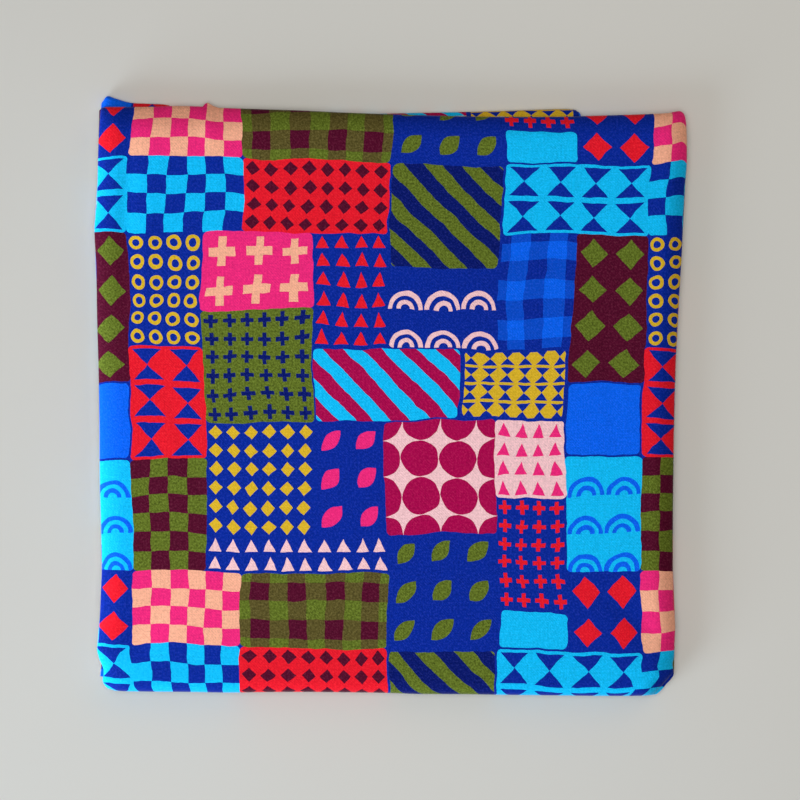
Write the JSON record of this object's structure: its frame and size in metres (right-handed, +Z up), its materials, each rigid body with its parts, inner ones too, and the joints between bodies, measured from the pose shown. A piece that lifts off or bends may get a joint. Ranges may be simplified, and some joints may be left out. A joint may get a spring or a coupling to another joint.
{
  "type": "folded printed cotton fabric",
  "caption": "Length of cotton fabric printed with bright patches, folded into a flat square packet with soft pressed folds.",
  "frame": {"origin": "on the surface that the packet lies on, under the middle of its outline", "axes": "+Z up through the layers, +Y towards the folded edge at the back, +X to the right"},
  "size_m": [0.287, 0.2886, 0.0154],
  "materials": {
    "printed_cotton": "matt cotton with a fine slanting twill, printed on one side"
  },
  "bodies": {
    "root": {"folded_cloth": "printed_cotton"}
  },
  "joints": []
}
